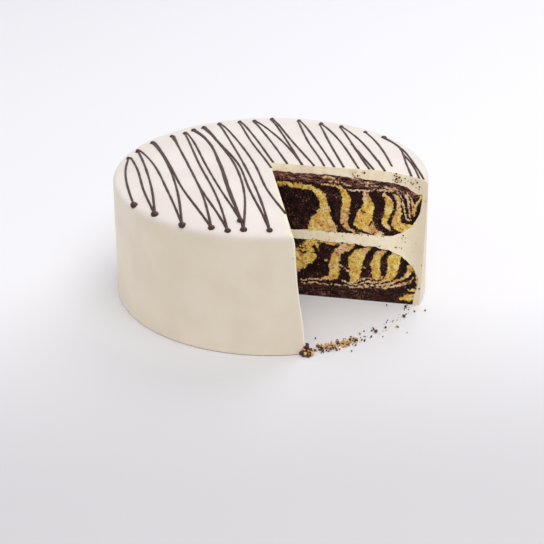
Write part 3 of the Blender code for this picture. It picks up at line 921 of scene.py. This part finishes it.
def sponge_material():
    look = Shading("marbled sponge", 0.85)
    look.shader.inputs["Specular IOR Level"].default_value = 0.15
    ragged = look.sum("SUBTRACT", look.noise(0.0020, 4.0, 0.65), 0.5)
    distance = look.sum("ADD", look.attribute("cocoa"), look.sum("MULTIPLY", ragged, 5.0))
    dark_share = look.span(distance, -0.35, 0.40)

    broad = look.span(look.noise(0.0050), 0.36, 0.64)
    yellow = look.mix(broad, *YELLOW_CRUMB)
    tan = look.mix(broad, *TAN_CRUMB)
    uneven = look.sum("MULTIPLY", look.sum("SUBTRACT", look.noise(0.008), 0.5), 1.6)
    warm = look.sum("ADD", look.attribute("warm"), uneven)
    light = look.mix(look.span(warm, 0.15, 0.85), yellow, tan)
    thin = look.sum("MULTIPLY", look.span(look.attribute("warm"), 0.84, 1.0), 0.6)
    light = look.mix(thin, light, THIN_BAND)
    light = look.tint(light, look.noise(0.0060), (0.50, 0.68), GOLDEN_PATCH)
    light = look.tint(light, look.noise(0.0012, 3.0), (0.54, 0.70), BROWN_SPECK)
    light = look.tint(light, look.noise(0.0016), (0.56, 0.74), PALE_SPECK)

    dark = look.mix(look.span(look.noise(0.005), 0.35, 0.65), *COCOA_CRUMB)
    specks = look.sum("ADD", look.noise(0.0010, 3.0), look.sum("MULTIPLY", look.noise(0.007), 0.5))
    dark = look.tint(dark, specks, (0.84, 1.02), COCOA_SPECK)
    crumb = look.mix(dark_share, light, dark)

    streak = look.attribute("streak")
    pressed = look.mix(look.span(streak, -0.5, 0.3), *PRESSED_CRUMB)
    pressed = look.tint(pressed, streak, (0.45, 0.85), PRESSED_STREAK)
    pressed = look.tint(pressed, specks, (0.80, 0.98), PRESSED_SPECK)
    crust_share = look.sum("MULTIPLY", look.attribute("crust"), dark_share)
    base = look.mix(crust_share, crumb, pressed)
    # Painted shade: the deeper in a pit, the darker the crumb
    painted_pit_shade = look.sum("MULTIPLY", look.span(look.attribute("pit"), 0.1, 1.1), 0.4)
    base = look.mix(painted_pit_shade, base, PIT_PAINTED_SHADE)
    look.bump(look.noise(0.0007, 4.0, 0.7), 0.0005)
    return look.finish(base)


def cream_material(name, side, top, cut):
    """Cream with a pair of colours each for its side, its top and its cut faces; where side and
    top differ, the side's pair is painted shade and the top's is painted light.
    """
    look = Shading(name, 0.5)
    broad = look.span(look.noise(0.030), 0.35, 0.65)
    # The side's colours hold painted shade and the top's hold painted light; they meet above the
    # rim
    painted_light_share = look.span(look.position("Z"), *PAINTED_LIGHT_BLEND)
    outside = look.mix(painted_light_share, look.mix(broad, *side), look.mix(broad, *top))
    inside = look.mix(look.span(look.noise(0.006), 0.35, 0.65), *cut)
    inside = look.mix(look.attribute("outer"), inside, OUTER_CUT)
    inside = look.tint(inside, look.noise(0.0016), (0.70, 0.78), CREAM_SPECK)
    base = look.mix(look.attribute("cut"), outside, inside)
    # Painted highlight along the left cut's outer edge
    base = look.tint(base, look.attribute("edge"), HIGHLIGHT_PAINT_BLEND, EDGE_PAINTED_HIGHLIGHT)
    look.bump(look.noise(0.005, 3.0, 0.5), 0.00015)
    return look.finish(base)


def chocolate_material():
    look = Shading("chocolate", 0.36)
    look.shader.inputs["Specular IOR Level"].default_value = 0.35
    base = look.mix(look.noise(0.006), *CHOCOLATE)
    look.bump(look.noise(0.003), 0.0002)
    return look.finish(base)


def smooth_points(knots, steps):
    """Close points on a smooth curve through knots that lie unevenly far apart."""
    gaps = [np.linalg.norm((after - before)[:2]) for before, after in zip(knots, knots[1:])]
    slopes = [(knots[index + 1] - knots[index]) / gap for index, gap in enumerate(gaps)]
    ways = []
    for index in range(1, len(slopes)):
        near, far = gaps[index - 1], gaps[index]
        ways.append((slopes[index - 1] * far + slopes[index] * near) / (near + far))
    if ways:
        first = 1.5 * slopes[0] - 0.5 * ways[0]
        last = 1.5 * slopes[-1] - 0.5 * ways[-1]
        ways = [first, *ways, last]
    else:
        ways = slopes * 2
    points = []
    for index, gap in enumerate(gaps):
        for step in range(steps):
            t = step / steps
            points.append(
                knots[index] * (2 * t ** 3 - 3 * t ** 2 + 1)
                + knots[index + 1] * (3 * t ** 2 - 2 * t ** 3)
                + ways[index] * gap * (t ** 3 - 2 * t ** 2 + t)
                + ways[index + 1] * gap * (t ** 3 - t ** 2)
            )
    return points + [knots[-1]]


def even_points(points, step):
    """Points at even distances along a line of close points."""
    line = np.array(points)
    marks = np.concatenate([[0.0], np.cumsum(np.hypot(*np.diff(line, axis=0).T))])
    count = max(2, round(marks[-1] / step))
    places = np.linspace(0.0, marks[-1], count + 1)
    return np.stack([np.interp(places, marks, line[:, axis]) for axis in (0, 1)], axis=1)


def stroke_knots(back, across, tip_index):
    """A stroke's knots from its back turn over its crossings to its front tip, if it has one."""
    knots = [back]
    for x, y in zip(across, CROSSINGS):
        if x is not None:
            knots.append(np.array([x, y]))
    if tip_index < len(FRONT_TIPS):
        knots.append(np.array(FRONT_TIPS[tip_index]))
    return knots


def drizzle_lines():
    """Each loop's line from one front tip round its back turn to the next, and the side lines."""
    lines = []
    for index, (x, y, across_left, across_right) in enumerate(LOOPS):
        tip = np.array([x, y])
        centre = tip * (1.0 - TURN_HALF_WIDTH / np.linalg.norm(tip))
        side = np.array([TURN_HALF_WIDTH, 0.0])
        left = stroke_knots(centre - side, across_left, index)
        right = stroke_knots(centre + side, across_right, index + 1)
        turn = []
        for step in range(1, TURN_STEPS):
            angle = math.pi * (1.0 - step / TURN_STEPS)
            turn.append(centre + TURN_HALF_WIDTH * np.array([math.cos(angle), math.sin(angle)]))
        left_line = smooth_points(left, CURVE_STEPS)[::-1]
        lines.append(left_line + turn + smooth_points(right, CURVE_STEPS))
    for knots in SIDE_STROKES:
        lines.append(smooth_points([np.array(knot) for knot in knots], CURVE_STEPS))
    return lines


def in_slice(points):
    """How far points lie inside the missing slice, negative outside it."""
    right = (points - RIGHT_CUT.foot) @ RIGHT_CUT.normal
    left = (points - LEFT_CUT.foot) @ LEFT_CUT.normal
    return np.minimum(right, left)


def on_top(flat):
    return np.column_stack([flat, top_surface(np.hypot(flat[:, 0], flat[:, 1]))])


def kept_runs(points):
    """The stretches of a line that lie outside the missing slice."""
    runs = []
    run = []
    for point, depth in zip(points, in_slice(points)):
        if depth < 0.0:
            run.append(point)
        elif run:
            runs.append(run)
            run = []
    if run:
        runs.append(run)
    return [np.array(run) for run in runs if len(run) > 2]


def add_bead(shape, line, seed):
    """A bead of chocolate along a line on the icing, half an ellipse in section."""
    rings = []
    ahead = np.gradient(line, axis=0)
    ahead /= np.linalg.norm(ahead, axis=1)[:, None]
    marks = np.arange(len(line)) * STROKE_STEP / MM
    width_noise = noise_at(np.column_stack([marks, marks * 0, marks * 0]), 9.0, seed)
    for point, way, swell in zip(line, ahead, width_noise):
        radius = math.hypot(point[0], point[1])
        slope = 2 * TOP_FALL * max(0.0, radius - FALL_START) / FALL_WIDTH ** 2
        up = np.array([slope * point[0] / radius, slope * point[1] / radius, 1.0])
        up /= np.linalg.norm(up)
        side = np.cross(way, up)
        half = STROKE_WIDTH / 2 * (1.0 + 0.16 * swell)
        high = STROKE_HEIGHT * (1.0 + 0.10 * swell)
        ring = []
        for step in range(SECTION_STEPS):
            angle = math.pi * step / (SECTION_STEPS - 1)
            lift = high * math.sin(angle) - STROKE_SINK
            ring.append(shape.verts.new(point + side * half * math.cos(angle) + up * lift))
        rings.append(ring)
    for before, after in zip(rings, rings[1:]):
        for index in range(SECTION_STEPS):
            beside = (index + 1) % SECTION_STEPS
            shape.faces.new((before[index], before[beside], after[beside], after[index]))
    shape.faces.new(rings[0])
    shape.faces.new(list(reversed(rings[-1])))


def add_blob(shape, place, size, rng):
    """The drop that a stroke leaves where it turns."""
    flat = np.array([place])
    centre = on_top(flat)[0]
    made = bmesh.ops.create_icosphere(shape, subdivisions=3, radius=1.0)
    grown = rng.uniform(0.85, 1.12)
    for vertex in made["verts"]:
        bulge = 1.0 + 0.15 * noise.noise(vertex.co * 1.3 + Vector((*place, 0.0)) * 900)
        vertex.co *= Vector(size) * grown * bulge
        vertex.co += Vector(centre)


def drizzle_piece():
    rng = np.random.default_rng(5)
    shape = bmesh.new()
    for index, line in enumerate(drizzle_lines()):
        points = on_top(even_points(line, STROKE_STEP))
        for run in kept_runs(points):
            add_bead(shape, run, 20.0 + index)
    drops = [(tip, FRONT_BLOB) for tip in FRONT_TIPS]
    drops += [(loop[:2], BACK_BLOB) for loop in LOOPS]
    drops.append((SIDE_STROKES[0][0], BACK_BLOB))
    for place, size in drops:
        if in_slice(on_top(np.array([place])))[0] < -size[0]:
            add_blob(shape, place, size, rng)
    bmesh.ops.recalc_face_normals(shape, faces=shape.faces)
    return smooth_piece(bpy.data.meshes.new("drizzle"), shape)


def foot_place(azimuth, radius, height):
    angle = math.radians(azimuth)
    return Vector((radius * math.cos(angle), radius * math.sin(angle), height))


def on_right_cut(s, z):
    return Vector(RIGHT_CUT.place(np.array([(s, z)]) * MM)[0])


def crumb_places(rng):
    """Where crumbs lie, as (place, size, chance of cocoa): a heap, a drift and a scatter."""
    places = []
    for _ in range(HEAP_CRUMBS):
        away = HEAP_REACH * rng.random() ** 0.7
        turn = rng.uniform(0.0, math.tau)
        height = HEAP_HEIGHT * (1.0 - away / HEAP_REACH) * rng.random()
        middle = foot_place(HEAP_AZIMUTH, HEAP_RADIUS, height)
        place = middle + Vector((away * math.cos(turn), away * math.sin(turn), 0.0))
        size = rng.uniform(0.0005, 0.0016)
        radius = math.hypot(place.x, place.y)
        if radius < BASE_RADIUS and in_slice(np.array([place]))[0] < size:
            place *= Vector((BASE_RADIUS / radius, BASE_RADIUS / radius, 1.0))
        places.append((place, size, 0.74))
    for _ in range(NECK_CRUMBS):
        azimuth = rng.uniform(HEAP_AZIMUTH, DRIFT_START)
        radius = rng.normal(DRIFT_RADIUS + 0.0010, 0.0010)
        places.append((foot_place(azimuth, radius, 0.0), rng.uniform(0.0004, 0.0009), 0.6))
    for _ in range(DRIFT_CRUMBS):
        share = rng.random() ** 1.3
        azimuth = DRIFT_START + (DRIFT_END - DRIFT_START) * share
        radius = rng.normal(DRIFT_RADIUS, 0.0024 + 0.0004 * share)
        height = 0.0016 * rng.random() ** 2 * (1.0 - share)
        size = 0.0004 + 0.0009 * rng.random() ** 2
        places.append((foot_place(azimuth, min(radius, 0.1232), height), size, 0.3))
    for _ in range(SCATTER_CRUMBS):
        share = rng.random() ** 1.6
        azimuth = DRIFT_START + (SCATTER_END - DRIFT_START) * share
        radius = rng.normal(DRIFT_RADIUS - 0.0018, 0.0034)
        size = 0.0003 + 0.0008 * rng.random() ** 2
        places.append((foot_place(azimuth, min(radius, 0.1235), 0.0), size, 0.85))
    for x, y, size in LONE_CRUMBS:
        places.append((Vector((x, y, 0.0)), size, 0.95))
    for chart in STUCK_CRUMBS:
        places.append((on_right_cut(*chart), rng.uniform(0.0005, 0.0009), 0.6))
    for _ in range(BORDER_CRUMBS):
        s = rng.uniform(24.0, 108.0)
        lower = crown(s * MM, LOWER_TOP, LOWER_DROP, SPONGE_RADIUS - LOWER_SHOULDER[0]) / MM
        z = (lower if rng.random() < 0.5 else UPPER_BOTTOM / MM - 1.0) + rng.uniform(-0.2, 0.8)
        places.append((on_right_cut(s, z), rng.uniform(0.0003, 0.0006), 0.7))
    for s, z, spread, count in STUCK_CLUSTERS:
        for chart in rng.normal((s, z), spread, (count, 2)):
            places.append((on_right_cut(*chart), rng.uniform(0.0003, 0.0008), 0.7))
    return places


def add_crumb(shape, place, size, rng):
    made = bmesh.ops.create_icosphere(shape, subdivisions=2, radius=size)
    turn = Euler(rng.uniform(0.0, math.tau, 3)).to_matrix()
    offset = Vector(rng.uniform(0.0, 50.0, 3))
    stretch = Vector(rng.uniform(0.6, 1.0, 3))
    for vertex in made["verts"]:
        bulge = 1.0 + 0.5 * noise.noise(vertex.co / size + offset)
        vertex.co = turn @ (vertex.co * stretch * bulge)
    lowest = min(vertex.co.z for vertex in made["verts"])
    for vertex in made["verts"]:
        vertex.co += place + Vector((0.0, 0.0, -lowest))


def crumb_pieces():
    """Cocoa crumbs and light crumbs."""
    rng = np.random.default_rng(CRUMB_SEED)
    shapes = {"cocoa_crumbs": bmesh.new(), "light_crumbs": bmesh.new()}
    for place, size, cocoa_chance in crumb_places(rng):
        name = "cocoa_crumbs" if rng.random() < cocoa_chance else "light_crumbs"
        add_crumb(shapes[name], place, size, rng)
    return [smooth_piece(bpy.data.meshes.new(name), shape) for name, shape in shapes.items()]


def crumb_material(name, first, second):
    look = Shading(name, 0.85)
    base = look.mix(look.span(look.noise(0.0025), 0.40, 0.60), first, second)
    look.bump(look.noise(0.0008, 3.0), 0.0004)
    return look.finish(base)


def dress(piece, material, slot, *nodes):
    piece.data.materials.append(material)
    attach(piece, "root")
    if nodes:
        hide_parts(*nodes)


def add_floor():
    mesh = bpy.data.meshes.new("floor")
    low, high = -FLOOR_REACH, FLOOR_REACH
    corners = [(low, low, 0.0), (high, low, 0.0), (high, high, 0.0), (low, high, 0.0)]
    mesh.from_pydata(corners, [], [(0, 1, 2, 3)])
    floor = link_object("floor", mesh)
    look = Shading("pale floor", 0.6)
    # Painted shade: the floor darkens towards the front, where less light falls
    share = look.span(look.position("Y"), *FLOOR_SHADE_SPAN)
    mesh.materials.append(look.finish(look.mix(share, *FLOOR_PAINTED_SHADE)))


def add_camera():
    data = bpy.data.cameras.new("camera")
    data.lens = CAMERA_LENS
    data.sensor_width = SENSOR_WIDTH
    camera = link_object("camera", data)
    place = Vector(CAMERA_PLACE)
    gaze = (Vector(CAMERA_AIM) - place).to_track_quat("-Z", "Y")
    roll = Quaternion((0.0, 0.0, 1.0), math.radians(CAMERA_ROLL))
    camera.location = place
    camera.rotation_mode = "QUATERNION"
    camera.rotation_quaternion = gaze @ roll
    bpy.context.scene.camera = camera


def add_area_light(name, place, aim, size, power, tint):
    data = bpy.data.lights.new(name, "AREA")
    data.shape = "DISK"
    data.size = size
    data.energy = power
    data.color = tint[:3]
    light = link_object(name, data)
    light.location = place
    light.rotation_euler = (Vector(aim) - Vector(place)).to_track_quat("-Z", "Y").to_euler()


def add_lights():
    scene = bpy.context.scene
    scene.view_settings.view_transform = "Standard"
    scene.view_settings.look = "None"
    world = bpy.data.worlds.new("studio")
    scene.world = world
    world.use_nodes = True
    back = world.node_tree.nodes["Background"]
    back.inputs["Color"].default_value = colour(252, 249, 248)
    back.inputs["Strength"].default_value = WORLD_STRENGTH
    centre = (0.0, 0.0, 0.05)
    add_area_light("window", (0.8, 1.1, 1.5), centre, 1.4, WINDOW_POWER, colour(253, 253, 255))
    add_area_light("left fill", (-1.2, -0.3, 1.0), centre, 1.0, FILL_POWER, colour(253, 254, 255))
    add_area_light("soft box", (0.34, -0.62, 1.56), centre, 1.2, BOX_POWER, colour(255, 250, 241))


def build():
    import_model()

    sponge = sponge_material()
    lower = sponge_body(0.0, LOWER_TOP, LOWER_DROP, LOWER_SHOULDER, LOWER_FOOT)
    upper = sponge_body(UPPER_BOTTOM, UPPER_TOP, UPPER_DROP, UPPER_SHOULDER, UPPER_FOOT)
    lower_piece = sponge_piece("lower_layer", lower, LOWER_LIGHT, LOWER_DARK, lower_crust, 11)
    upper_piece = sponge_piece("upper_layer", upper, UPPER_LIGHT, UPPER_DARK, upper_crust, 12)
    dress(lower_piece, sponge, "sponge", "sponge_lower")
    dress(upper_piece, sponge, "sponge", "sponge_upper")

    cream = cream_material("cream", ICING_SIDE_PAINTED_SHADE, ICING_SIDE_PAINTED_SHADE, FILLING_CUT)
    coat = cream_material("icing", ICING_SIDE_PAINTED_SHADE, ICING_TOP_PAINTED_LIGHT, ICING_CUT)
    dress(cream_piece("cream_filling", filling_body(), 13), cream, "cream", "filling")
    dress(cream_piece("icing", icing_body(), 14), coat, "frosting", "frosting")
    dress(drizzle_piece(), chocolate_material(), "chocolate", "frosting")
    cocoa_crumbs, light_crumbs = crumb_pieces()
    dress(cocoa_crumbs, crumb_material("cocoa crumbs", *COCOA_CRUMBS), "sponge")
    dress(light_crumbs, crumb_material("light crumbs", *LIGHT_CRUMBS), "sponge")

    add_floor()
    add_camera()
    add_lights()


build()
